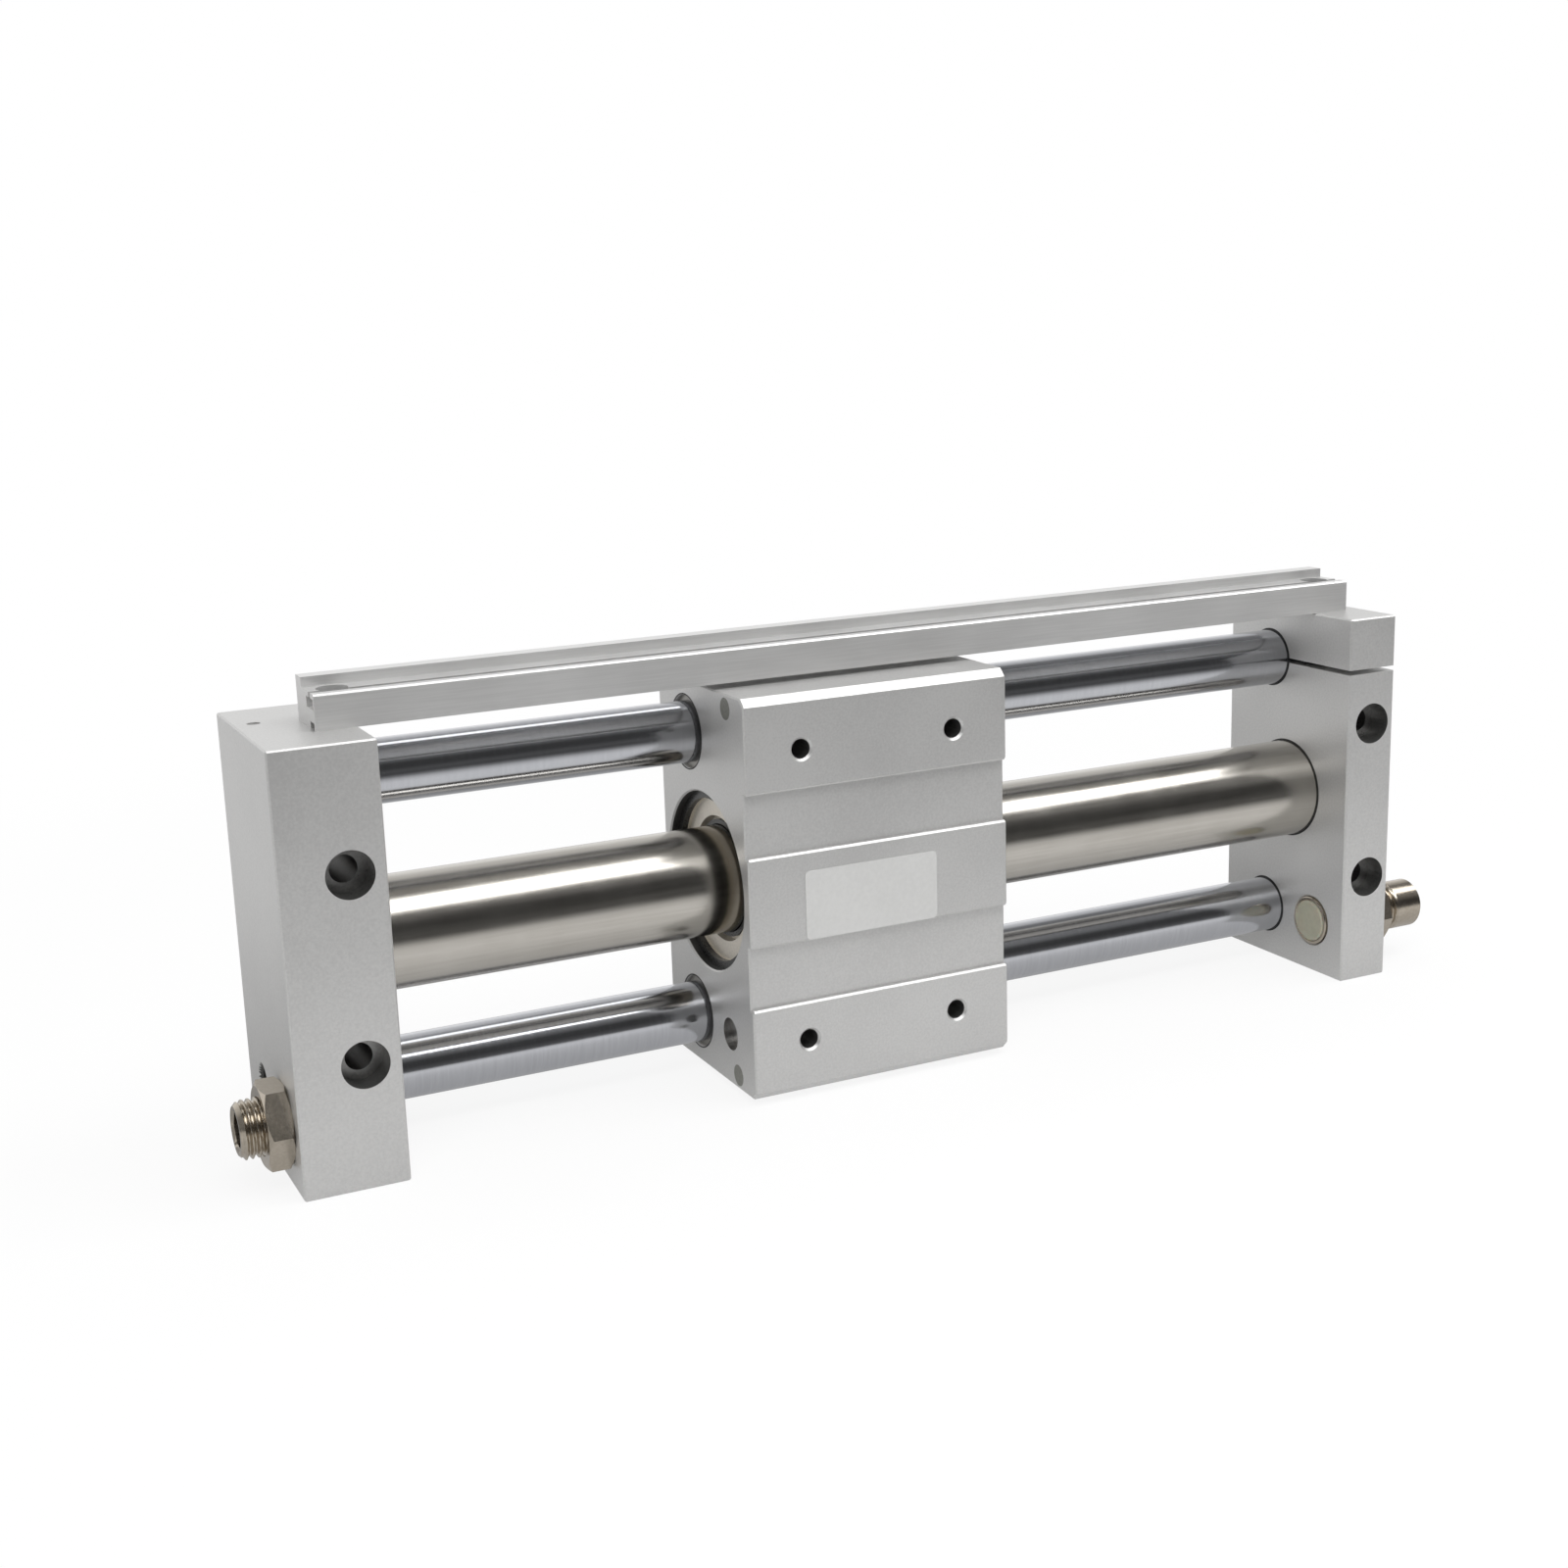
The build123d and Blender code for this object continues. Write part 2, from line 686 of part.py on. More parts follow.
def ring_profile(start, end, inner, outer):
    """The four corners of a plain ring."""
    return [(start, inner), (end, inner), (end, outer), (start, outer)]


def retaining_ring(side):
    """An open internal ring with two lug holes, its gap toward the mounting face."""
    outer_edge = block_centre + side * (groove_edge - (ring_groove_width - ring_thickness) / 2)
    lug_radius = ring_lug_hole_radius + ring_lug_wall
    lug_y = tube_y + ring_inner_radius - ring_lug_wall
    lug_z = ring_gap / 2 + lug_radius
    with BuildPart() as ring:
        with BuildSketch(Plane.YZ.offset(outer_edge)):
            with Locations((tube_y, 0)):
                Circle(ring_outer_radius)
                Circle(ring_inner_radius, mode=Mode.SUBTRACT)
            with Locations((lug_y, lug_z), (lug_y, -lug_z)):
                Circle(lug_radius)
            with Locations((tube_y + ring_outer_radius, 0)):
                Rectangle(2 * ring_outer_radius, ring_gap, mode=Mode.SUBTRACT)
            with Locations((lug_y, lug_z), (lug_y, -lug_z)):
                Circle(ring_lug_hole_radius, mode=Mode.SUBTRACT)
        extrude(amount=-side * ring_thickness)
    return ring.part


for name, side in (("left", -1), ("right", 1)):
    pieces[f"{name}_retaining_ring"] = retaining_ring(side)
    for part_name, profile in (
        ("end_spacer", spacer_profile),
        ("gland_ring", ring_profile(gland_back, gland_front, gland_inner_radius, gland_outer_radius)),
        ("scraper", ring_profile(scraper_back, gland_back, slide_fit_radius, gland_outer_radius)),
        ("wear_ring", ring_profile(stack_half, scraper_back, slide_fit_radius, gland_outer_radius)),
    ):
        pieces[f"{name}_{part_name}"] = turned(profile, block_centre, tube_y, 0, side)
    bush_outer_end = half_block - bush_recess
    bush = ring_profile(
        bush_outer_end - bush_length, bush_outer_end, shaft_radius + running_clearance, bush_outer_radius
    )
    for level, height in (("upper", shaft_z), ("lower", -shaft_z)):
        pieces[f"{level}_{name}_bush"] = turned(bush, block_centre, shaft_y, height, side)

# Magnet stacks outside and inside the tube
stack_bore = piston_shaft_radius + inner_stack_bore_clearance
stack_pitch = magnet_length + yoke_length
for number in range(1, magnet_count + 2):
    start = block_centre - stack_half + (number - 1) * stack_pitch
    end = start + yoke_length
    pieces[f"outer_yoke_{number}"] = sleeve(
        start, end, tube_y, 0, stack_outer_radius, outer_stack_inner_radius
    )
    pieces[f"inner_yoke_{number}"] = sleeve(start, end, tube_y, 0, inner_yoke_radius, stack_bore)
for number in range(1, magnet_count + 1):
    start = block_centre - stack_half + yoke_length + (number - 1) * stack_pitch
    end = start + magnet_length
    pieces[f"outer_magnet_{number}"] = sleeve(
        start, end, tube_y, 0, stack_outer_radius, outer_stack_inner_radius
    )
    pieces[f"inner_magnet_{number}"] = sleeve(start, end, tube_y, 0, inner_magnet_radius, stack_bore)

# Pistons with their seals and wear rings
piston_end = stack_half + piston_length
ring_start = stack_half + piston_ring_inset
ring_end = ring_start + piston_ring_length
seal_start = stack_half + piston_seal_inset
seal_end = seal_start + piston_seal_length
piston_ring_floor = piston_radius - piston_ring_depth
piston_seal_floor = piston_radius - piston_seal_depth
piston_fit_radius = tube_bore_radius - running_clearance
piston_profile = [
    (stack_half, stack_bore),
    (stack_half, piston_radius),
    (ring_start, piston_radius),
    (ring_start, piston_ring_floor),
    (ring_end, piston_ring_floor),
    (ring_end, piston_radius),
    (seal_start, piston_radius),
    (seal_start, piston_seal_floor),
    (seal_end, piston_seal_floor),
    (seal_end, piston_radius),
    (piston_end, piston_radius),
    (piston_end, stack_bore),
]
for name, side in (("left", -1), ("right", 1)):
    for part_name, profile in (
        ("piston", piston_profile),
        ("piston_wear_ring", ring_profile(ring_start, ring_end, piston_ring_floor, piston_fit_radius)),
        ("piston_seal", ring_profile(seal_start, seal_end, piston_seal_floor, piston_fit_radius)),
    ):
        pieces[f"{name}_{part_name}"] = turned(profile, block_centre, tube_y, 0, side)

shaft_half = piston_end + piston_nut_thickness + piston_shaft_overhang
pieces["piston_shaft"] = sleeve(
    block_centre - shaft_half, block_centre + shaft_half, tube_y, 0, piston_shaft_radius, 0
)

with BuildPart() as piston_nuts:
    for start in (block_centre + piston_end, block_centre - piston_end - piston_nut_thickness):
        with BuildSketch(Plane.YZ.offset(start)):
            with Locations((tube_y, 0)):
                RegularPolygon(piston_nut_across / 2, 6, major_radius=False)
                Circle(piston_shaft_radius + thread_clearance, mode=Mode.SUBTRACT)
        extrude(amount=piston_nut_thickness)
pieces["piston_nuts"] = piston_nuts.part

# Write one file for each piece
os.makedirs("parts", exist_ok=True)
for name, piece in pieces.items():
    piece.label = name
    export_step(piece, f"parts/{name}.step")
print(len(pieces), "pieces written")
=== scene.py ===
"""Looks of a rodless air cylinder with two guide shafts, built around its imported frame."""

from __future__ import annotations

import json
import logging
import math
from collections.abc import Callable, Sequence
from dataclasses import dataclass
from enum import Enum
from functools import partial

import bmesh
import bpy
from mathutils import Matrix, Vector

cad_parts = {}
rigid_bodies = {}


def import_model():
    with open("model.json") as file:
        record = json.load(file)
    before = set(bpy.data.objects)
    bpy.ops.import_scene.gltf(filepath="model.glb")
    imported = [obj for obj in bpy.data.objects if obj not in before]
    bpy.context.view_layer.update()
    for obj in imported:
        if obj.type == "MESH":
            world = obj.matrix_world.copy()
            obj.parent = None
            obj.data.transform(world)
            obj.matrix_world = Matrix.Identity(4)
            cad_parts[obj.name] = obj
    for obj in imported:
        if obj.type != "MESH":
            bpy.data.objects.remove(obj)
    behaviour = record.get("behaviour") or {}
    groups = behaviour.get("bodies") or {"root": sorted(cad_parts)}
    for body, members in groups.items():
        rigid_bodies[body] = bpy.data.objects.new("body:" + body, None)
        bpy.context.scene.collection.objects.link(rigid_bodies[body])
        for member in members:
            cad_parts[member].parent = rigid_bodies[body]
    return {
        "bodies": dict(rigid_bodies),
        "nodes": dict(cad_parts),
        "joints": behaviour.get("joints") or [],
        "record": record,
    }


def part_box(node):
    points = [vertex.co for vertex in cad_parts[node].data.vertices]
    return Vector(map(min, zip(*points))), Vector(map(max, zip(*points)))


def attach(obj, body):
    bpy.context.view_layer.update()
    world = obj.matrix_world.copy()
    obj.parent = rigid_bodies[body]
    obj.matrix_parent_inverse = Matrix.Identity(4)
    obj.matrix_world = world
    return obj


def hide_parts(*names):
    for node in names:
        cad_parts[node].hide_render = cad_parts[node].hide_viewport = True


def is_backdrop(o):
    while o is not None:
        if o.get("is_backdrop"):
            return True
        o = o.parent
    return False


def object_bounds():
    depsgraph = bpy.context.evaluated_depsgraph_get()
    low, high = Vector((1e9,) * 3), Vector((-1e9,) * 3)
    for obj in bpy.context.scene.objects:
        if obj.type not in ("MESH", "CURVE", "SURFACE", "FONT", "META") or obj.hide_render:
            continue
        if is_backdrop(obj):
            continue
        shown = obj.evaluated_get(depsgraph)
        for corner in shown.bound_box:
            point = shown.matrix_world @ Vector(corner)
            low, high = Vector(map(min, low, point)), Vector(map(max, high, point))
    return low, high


MM = 0.001
FULL_TURN = 2 * math.pi
SHARP_DEGREES = 35.0
HEXAGON_CORNER = 1.1547  # corner radius over half the width across flats
WHITE = (1.0, 1.0, 1.0, 1.0)

COAT_ROUGHNESS = 0.15
SUBSURFACE_REACH = 2.0 * MM
BUMP_STRENGTH = 0.6
FINE_DETAIL = 3.0
BROAD_DETAIL = 2.0
FINE_SHARE = 0.6
BLEND_SPAN = (0.38, 0.62)
NOISE_SUM_SPAN = (0.6, 1.4)
LEAST_ROUGHNESS = 0.02

log = logging.getLogger("rodless_cylinder")

Colour = tuple[float, float, float]
Place = tuple[float, float, float]
Face = tuple[int, ...]
Ring = list[Vector]
Radius = float | Callable[[float], float]
Row = tuple[float, Radius]


class Body(Enum):
    """The rigid bodies that new pieces ride on."""

    FRAME = "frame"
    SLIDER = "slider"


class Axis(Enum):
    """The axes that holes run along, as places in a vector."""

    X = 0
    Y = 1


class Side(Enum):
    """The two ends of the cylinder, as the sign of the outward direction along X."""

    LEFT = -1
    RIGHT = 1

    @property
    def word(self) -> str:
        """The end's name as the nodes use it.

        Returns:
            The word left or right.
        """
        return self.name.lower()


class Grain(Enum):
    """How a surface's fine marks run, as noise scale factors along X, Y and Z."""

    EVEN = (1.0, 1.0, 1.0)
    LENGTHWISE = (0.03, 1.0, 1.0)
    AROUND_X = (1.0, 0.06, 0.06)


def add_math(
    tree: bpy.types.NodeTree, operation: str, *values: bpy.types.NodeSocket | float
) -> bpy.types.NodeSocket:
    """Add a math node.

    Args:
        tree: the nodes that it joins.
        operation: what it works out.
        values: for each input in order, the socket that feeds it or its number.

    Returns:
        The node's result.
    """
    node = tree.nodes.new("ShaderNodeMath")
    node.operation = operation
    for entry, value in zip(node.inputs, values):
        if isinstance(value, float):
            entry.default_value = value
        else:
            tree.links.new(value, entry)
    return node.outputs[0]


def add_range(
    tree: bpy.types.NodeTree,
    value: bpy.types.NodeSocket,
    span: tuple[float, float],
    result: tuple[float, float] = (0.0, 1.0),
    interpolation: str = "LINEAR",
) -> bpy.types.NodeSocket:
    """Add a node that moves a value from one span to another.

    Args:
        tree: the nodes that it joins.
        value: the value to move.
        span: the least and greatest value that come in.
        result: what these two become.
        interpolation: how the values between them go.

    Returns:
        The moved value.
    """
    node = tree.nodes.new("ShaderNodeMapRange")
    node.interpolation_type = interpolation
    names = ("From Min", "From Max", "To Min", "To Max")
    for name, number in zip(names, (*span, *result)):
        node.inputs[name].default_value = number
    tree.links.new(value, node.inputs["Value"])
    return node.outputs["Result"]


def add_ramp(
    tree: bpy.types.NodeTree,
    value: bpy.types.NodeSocket,
    stops: Sequence[tuple[float, Colour]],
) -> bpy.types.NodeSocket:
    """Add a node that turns a value from 0 to 1 into a colour.

    Args:
        tree: the nodes that it joins.
        value: the value to turn.
        stops: place and colour of each stop, in order.

    Returns:
        The colour.
    """
    ramp = tree.nodes.new("ShaderNodeValToRGB")
    steps = ramp.color_ramp.elements
    while len(steps) < len(stops):
        steps.new(0.5)
    for step, (position, colour) in zip(steps, stops):
        step.position = position
        step.color = (*colour, 1.0)
    tree.links.new(value, ramp.inputs["Fac"])
    return ramp.outputs["Color"]


def add_mix(
    tree: bpy.types.NodeTree,
    share: bpy.types.NodeSocket,
    first: bpy.types.NodeSocket,
    second: bpy.types.NodeSocket,
) -> bpy.types.NodeSocket:
    """Add a node that mixes two shaders.

    Args:
        tree: the nodes that it joins.
        share: the second shader's share.
        first: the shader at a share of 0.
        second: the shader at a share of 1.

    Returns:
        The mixed shader.
    """
    node = tree.nodes.new("ShaderNodeMixShader")
    for entry, source in zip(node.inputs, (share, first, second)):
        tree.links.new(source, entry)
    return node.outputs[0]


def add_glow(
    tree: bpy.types.NodeTree,
    kind: str,
    colour: tuple[float, ...] | bpy.types.NodeSocket,
    strength: float = 1.0,
) -> bpy.types.NodeSocket:
    """Add a node that gives off light.

    Args:
        tree: the nodes that it joins.
        kind: the node's type, an emission or a background.
        colour: its colour, or the socket that gives it.
        strength: its strength.

    Returns:
        The node's shader.
    """
    node = tree.nodes.new(kind)
    node.inputs["Strength"].default_value = strength
    if isinstance(colour, tuple):
        node.inputs["Color"].default_value = colour
    else:
        tree.links.new(colour, node.inputs["Color"])
    return node.outputs[0]


@dataclass(frozen=True)
class Finish:
    """A surface finish: two near colours, a gloss range and the depth of its fine marks.

    Colours are linear RGB, sizes are in metres.
    """

    name: str
    colour: Colour
    shade: Colour
    metallic: float
    roughness: float
    roughness_spread: float = 0.05
    grain: Grain = Grain.EVEN
    grain_size: float = 0.4 * MM
    mark_depth: float = 0.01 * MM
    patch_size: float = 20.0 * MM
    coat: float = 0.0
    subsurface: float = 0.0

    @property
    def material_name(self) -> str:
        """The material's own name, kept apart from the frame's plain material of the same slot.

        Returns:
            The name.
        """
        return f"{self.name}_finish"

    def material(self) -> bpy.types.Material:
        """Build the finish once and return it again on later calls.

        Returns:
            The node material of this finish.
        """
        made = bpy.data.materials.get(self.material_name)
        if made:
            return made
        made = bpy.data.materials.new(self.material_name)
        made.use_nodes = True
        tree = made.node_tree
        shader = tree.nodes["Principled BSDF"]
        shader.inputs["Metallic"].default_value = self.metallic
        if self.coat:
            shader.inputs["Coat Weight"].default_value = self.coat
            shader.inputs["Coat Roughness"].default_value = COAT_ROUGHNESS
        if self.subsurface:
            shader.inputs["Subsurface Weight"].default_value = self.subsurface
            shader.inputs["Subsurface Scale"].default_value = SUBSURFACE_REACH
        place = tree.nodes.new("ShaderNodeTexCoord").outputs["Object"]
        stretch = tree.nodes.new("ShaderNodeMapping")
        stretch.inputs["Scale"].default_value = self.grain.value
        tree.links.new(place, stretch.inputs["Vector"])
        fine = self._noise(tree, stretch.outputs["Vector"], self.grain_size, FINE_DETAIL)
        broad = self._noise(tree, place, self.patch_size, BROAD_DETAIL)
        tree.links.new(self._colour(tree, fine, broad), shader.inputs["Base Color"])
        tree.links.new(self._gloss(tree, fine, broad), shader.inputs["Roughness"])
        bump = tree.nodes.new("ShaderNodeBump")
        bump.inputs["Strength"].default_value = BUMP_STRENGTH
        bump.inputs["Distance"].default_value = self.mark_depth
        tree.links.new(fine, bump.inputs["Height"])
        tree.links.new(bump.outputs["Normal"], shader.inputs["Normal"])
        return made

    @staticmethod
    def _noise(
        tree: bpy.types.NodeTree, place: bpy.types.NodeSocket, size: float, detail: float
    ) -> bpy.types.NodeSocket:
        """Add a noise texture.

        Args:
            tree: the material's nodes.
            place: where on the surface the noise is read.
            size: the size of its cells.
            detail: how many finer layers are added.

        Returns:
            The noise.
        """
        node = tree.nodes.new("ShaderNodeTexNoise")
        node.inputs["Scale"].default_value = 1.0 / size
        node.inputs["Detail"].default_value = detail
        tree.links.new(place, node.inputs["Vector"])
        return node.outputs["Fac"]

    def _colour(
        self, tree: bpy.types.NodeTree, fine: bpy.types.NodeSocket, broad: bpy.types.NodeSocket
    ) -> bpy.types.NodeSocket:
        """Vary the base colour between the finish's two colours.

        Args:
            tree: the material's nodes.
            fine: noise at the size of the grain.
            broad: noise at the size of handling patches.

        Returns:
            The colour.
        """
        rest = add_math(tree, "MULTIPLY", broad, 1.0 - FINE_SHARE)
        blend = add_math(tree, "MULTIPLY_ADD", fine, FINE_SHARE, rest)
        return add_ramp(tree, blend, tuple(zip(BLEND_SPAN, (self.shade, self.colour))))

    def _gloss(
        self, tree: bpy.types.NodeTree, fine: bpy.types.NodeSocket, broad: bpy.types.NodeSocket
    ) -> bpy.types.NodeSocket:
        """Vary the roughness a little over the surface.

        Args:
            tree: the material's nodes.
            fine: noise at the size of the grain.
            broad: noise at the size of handling patches.

        Returns:
            The roughness.
        """
        least = max(LEAST_ROUGHNESS, self.roughness - self.roughness_spread)
        most = self.roughness + self.roughness_spread
        return add_range(tree, add_math(tree, "ADD", fine, broad), NOISE_SUM_SPAN, (least, most))


ANODISED = Finish(
    "anodised_plate", colour=(0.69, 0.687, 0.678), shade=(0.615, 0.612, 0.605),
    metallic=0.62, roughness=0.42,
    grain_size=0.6 * MM, patch_size=30.0 * MM,
)
DRAWN_ANODISED = Finish(
    "anodised_rail", colour=(0.76, 0.757, 0.75), shade=(0.70, 0.697, 0.69),
    metallic=0.60, roughness=0.38,
    grain=Grain.LENGTHWISE, grain_size=0.5 * MM, mark_depth=0.02 * MM,
)
STAINLESS = Finish(
    "stainless_tube", colour=(0.60, 0.575, 0.53), shade=(0.54, 0.515, 0.47),
    metallic=1.0, roughness=0.20, roughness_spread=0.04,
    grain=Grain.LENGTHWISE, grain_size=1.0 * MM, mark_depth=0.006 * MM, patch_size=10.0 * MM,
)
HARD_CHROME = Finish(
    "hard_chrome", colour=(0.60, 0.61, 0.64), shade=(0.56, 0.57, 0.60),
    metallic=1.0, roughness=0.15, roughness_spread=0.02,
    grain=Grain.AROUND_X, grain_size=0.6 * MM, mark_depth=0.0003 * MM,
)
NICKEL = Finish(
    "nickel_plate", colour=(0.53, 0.475, 0.40), shade=(0.46, 0.41, 0.34),
    metallic=1.0, roughness=0.22, roughness_spread=0.04,
    grain_size=0.8 * MM, mark_depth=0.004 * MM, patch_size=6.0 * MM,
)
ZINC = Finish(
    "zinc_steel", colour=(0.86, 0.81, 0.72), shade=(0.76, 0.715, 0.64),
    metallic=0.6, roughness=0.42, roughness_spread=0.06,
    grain_size=0.6 * MM,
)
RING_STEEL = Finish(
    "ring_steel", colour=(0.075, 0.075, 0.073), shade=(0.05, 0.05, 0.049),
    metallic=0.8, roughness=0.28,
    grain_size=0.5 * MM, mark_depth=0.008 * MM,
)
# Darker finish for hole walls: tool marks in its bump, painted shade in its colour.
PAINTED_SHADE_DRILLED_WALL = Finish(
    "painted_shade_drilled_wall", colour=(0.34, 0.337, 0.33), shade=(0.25, 0.248, 0.243),
    metallic=0.85, roughness=0.32, roughness_spread=0.06,
    grain_size=0.6 * MM, mark_depth=0.02 * MM,
)
# Near-black finish that paints the shade deep in the magnet bore and the side port.
PAINTED_SHADE_BORE = Finish(
    "painted_shade_bore", colour=(0.11, 0.109, 0.106), shade=(0.08, 0.079, 0.077),
    metallic=0.7, roughness=0.34, roughness_spread=0.06,
    grain_size=0.6 * MM, mark_depth=0.02 * MM,
)
PLUG_STEEL = Finish(
    "plug_steel", colour=(0.46, 0.455, 0.445), shade=(0.36, 0.355, 0.345),
    metallic=1.0, roughness=0.40, roughness_spread=0.08,
    grain_size=0.6 * MM,
)
# Dark bearing metal, made darker still as painted shade for the recess round the shafts.
BUSH_METAL = Finish(
    "bush_metal", colour=(0.34, 0.33, 0.31), shade=(0.26, 0.25, 0.235),
    metallic=1.0, roughness=0.35, roughness_spread=0.06,
)
MAGNET_FACE = Finish(
    "switch_magnet", colour=(0.28, 0.28, 0.25), shade=(0.21, 0.21, 0.19),
    metallic=0.4, roughness=0.45, roughness_spread=0.08,
    grain_size=0.7 * MM,
)
BLACK_OXIDE = Finish(
    "black_screw", colour=(0.055, 0.055, 0.06), shade=(0.035, 0.035, 0.04),
    metallic=0.6, roughness=0.42, roughness_spread=0.08,
    grain_size=0.5 * MM,
)
URETHANE = Finish(
    "urethane", colour=(0.46, 0.45, 0.355), shade=(0.41, 0.40, 0.315),
    metallic=0.0, roughness=0.42, roughness_spread=0.06,
    grain_size=1.5 * MM, mark_depth=0.02 * MM, subsurface=0.25,
)
RUBBER = Finish(
    "nitrile_rubber", colour=(0.022, 0.022, 0.022), shade=(0.015, 0.015, 0.015),
    metallic=0.0, roughness=0.55, roughness_spread=0.08,
    grain_size=0.8 * MM,
)
RESIN = Finish(
    "bearing_resin", colour=(0.62, 0.60, 0.55), shade=(0.54, 0.52, 0.47),
    metallic=0.0, roughness=0.45, roughness_spread=0.06,
    grain_size=0.8 * MM,
)
MAGNET = Finish(
    "magnet", colour=(0.11, 0.11, 0.12), shade=(0.08, 0.08, 0.09),
    metallic=0.5, roughness=0.45, roughness_spread=0.08,
    grain_size=0.8 * MM,
)
YOKE = Finish(
    "yoke_steel", colour=(0.42, 0.42, 0.42), shade=(0.34, 0.34, 0.34),
    metallic=1.0, roughness=0.38, roughness_spread=0.06,
    grain=Grain.AROUND_X,
)
TURNED_ALUMINIUM = Finish(
    "piston_aluminium", colour=(0.62, 0.62, 0.62), shade=(0.54, 0.54, 0.54),
    metallic=1.0, roughness=0.30, roughness_spread=0.06,
    grain=Grain.AROUND_X, grain_size=0.3 * MM,
)
LABEL_FILM = Finish(
    "label_film", colour=(0.62, 0.62, 0.61), shade=(0.585, 0.585, 0.575),
    metallic=0.0, roughness=0.35, roughness_spread=0.04,
    grain_size=1.0 * MM, mark_depth=0.003 * MM, coat=0.25,
)

SLOT_FINISHES = {
    finish.name: finish
    for finish in (
        ANODISED, DRAWN_ANODISED, STAINLESS, HARD_CHROME, NICKEL, ZINC, RING_STEEL, PLUG_STEEL,
        BUSH_METAL, MAGNET_FACE, BLACK_OXIDE, URETHANE, RUBBER, RESIN, MAGNET, YOKE,
        TURNED_ALUMINIUM,
    )
}


def ring_of(x: float, axis: Vector, radius: Radius, count: int) -> Ring:
    """A closed ring of points around an axis along X.

    Args:
        x: place of the ring along the axis.
        axis: a point on the axis.
        radius: the radius, or what gives it at an angle in radians.
        count: points in the ring.

    Returns:
        The ring's points in order.
    """
    points = []
    for step in range(count):
        angle = FULL_TURN * step / count
        reach = radius(angle) if callable(radius) else radius
        y, z = axis.y + reach * math.cos(angle), axis.z + reach * math.sin(angle)
        points.append(Vector((x, y, z)))
    return points


def rings_of(rows: Sequence[Row], axis: Vector, count: int) -> list[Ring]:
    """Rings around one axis along X.

    Args:
        rows: each ring's place along the axis and its radius.
        axis: a point on the axis.
        count: points in each ring.

    Returns:
        The rings in order.
    """
    return [ring_of(x, axis, radius, count) for x, radius in rows]


def band_between(here: int, there: int, count: int) -> list[Face]:
    """The faces between two rings.

    Args:
        here: the first ring's first vertex.
        there: the second ring's first vertex.
        count: points in each ring.

    Returns:
        The faces in order round the rings.
    """
    steps = [(step, (step + 1) % count) for step in range(count)]
    return [(here + step, here + after, there + after, there + step) for step, after in steps]


def link_mesh(name: str, vertices: Sequence[Place], faces: Sequence[Face]) -> bpy.types.Object:
    """Make a mesh object and link it to the scene.

    Args:
        name: the new object's name.
        vertices: its points.
        faces: its faces, as places in the list of points.

    Returns:
        The new object.
    """
    mesh = bpy.data.meshes.new(name)
    mesh.from_pydata(vertices, [], faces)
    piece = bpy.data.objects.new(name, mesh)
    bpy.context.scene.collection.objects.link(piece)
    return piece


def face_outward(piece: bpy.types.Object) -> None:
    """Turn a closed mesh's faces so that they all look out.

    Args:
        piece: a closed mesh object.
    """
    work = bmesh.new()
    work.from_mesh(piece.data)
    bmesh.ops.recalc_face_normals(work, faces=work.faces)
    work.to_mesh(piece.data)
    work.free()


def round_piece(name: str, points: Sequence[Vector], faces: Sequence[Face]) -> bpy.types.Object:
    """Make a closed piece that is smooth except where its faces meet at a sharp angle.

    Args:
        name: the new object's name.
        points: its points.
        faces: its faces, as places in the list of points.

    Returns:
        The new mesh object, linked to the scene.
    """
    piece = link_mesh(name, [tuple(point) for point in points], faces)
    piece.data.validate()
    piece.data.shade_smooth()
    piece.data.set_sharp_from_angle(angle=math.radians(SHARP_DEGREES))
    piece.data.update()
    face_outward(piece)
    return piece


def skin(name: str, rings: Sequence[Ring]) -> bpy.types.Object:
    """Join rings of equal length into one closed surface, with a fan at each end.

    Args:
        name: the new object's name.
        rings: the rings in order from one end to the other.

    Returns:
        The new mesh object, linked to the scene.
    """
    count = len(rings[0])
    points = [point for ring in rings for point in ring]
    faces: list[Face] = []
    for row in range(len(rings) - 1):
        faces += band_between(row * count, (row + 1) * count, count)
    for row, flip in ((0, True), (len(rings) - 1, False)):
        hub = len(points)
        points.append(sum(rings[row], Vector()) / count)
        for step in range(count):
            face = (row * count + step, row * count + (step + 1) % count, hub)
            faces.append(tuple(reversed(face)) if flip else face)
    return round_piece(name, points, faces)


def hollow(name: str, rings: Sequence[Ring]) -> bpy.types.Object:
    """Join rings of equal length, in order round a wall, into a surface that closes on itself.

    Args:
        name: the new object's name.
        rings: the wall's rings, the last next to the first.

    Returns:
        The new mesh object, linked to the scene.
    """
    count = len(rings[0])
    faces: list[Face] = []
    for row in range(len(rings)):
        faces += band_between(row * count, (row + 1) % len(rings) * count, count)
    return round_piece(name, [point for ring in rings for point in ring], faces)


def finish_piece(piece: bpy.types.Object, finish: Finish, body: Body) -> None:
    """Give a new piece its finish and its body.

    Args:
        piece: the new piece.
        finish: the finish it wears.
        body: the rigid body it moves with.
    """
    piece.data.materials.append(finish.material())
    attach(piece, body.value)


def middle_of(node: str) -> tuple[Vector, Vector, Vector]:
    """Measure a node's box.

    Args:
        node: the node's name.

    Returns:
        Its lowest corner, its highest corner and its middle.
    """
    low, high = map(Vector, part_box(node))
    return low, high, (low + high) / 2


@dataclass
class NodeDresser:
    """Puts the finish of each node's material slot on the node itself."""

    frame: dict

    def dress(self) -> int:
        """Give every node the finish that its slot names.

        Returns:
            How many nodes were dressed.
        """
        subparts = self.frame["record"]["subparts"]
        slots = {entry["node"]: entry["material_slot"] for entry in subparts}
        for node, piece in self.frame["nodes"].items():
            material = SLOT_FINISHES[slots[node]].material()
            if not piece.data.materials:
                piece.data.materials.append(material)
            for slot in piece.material_slots:
                slot.material = material
        return len(self.frame["nodes"])


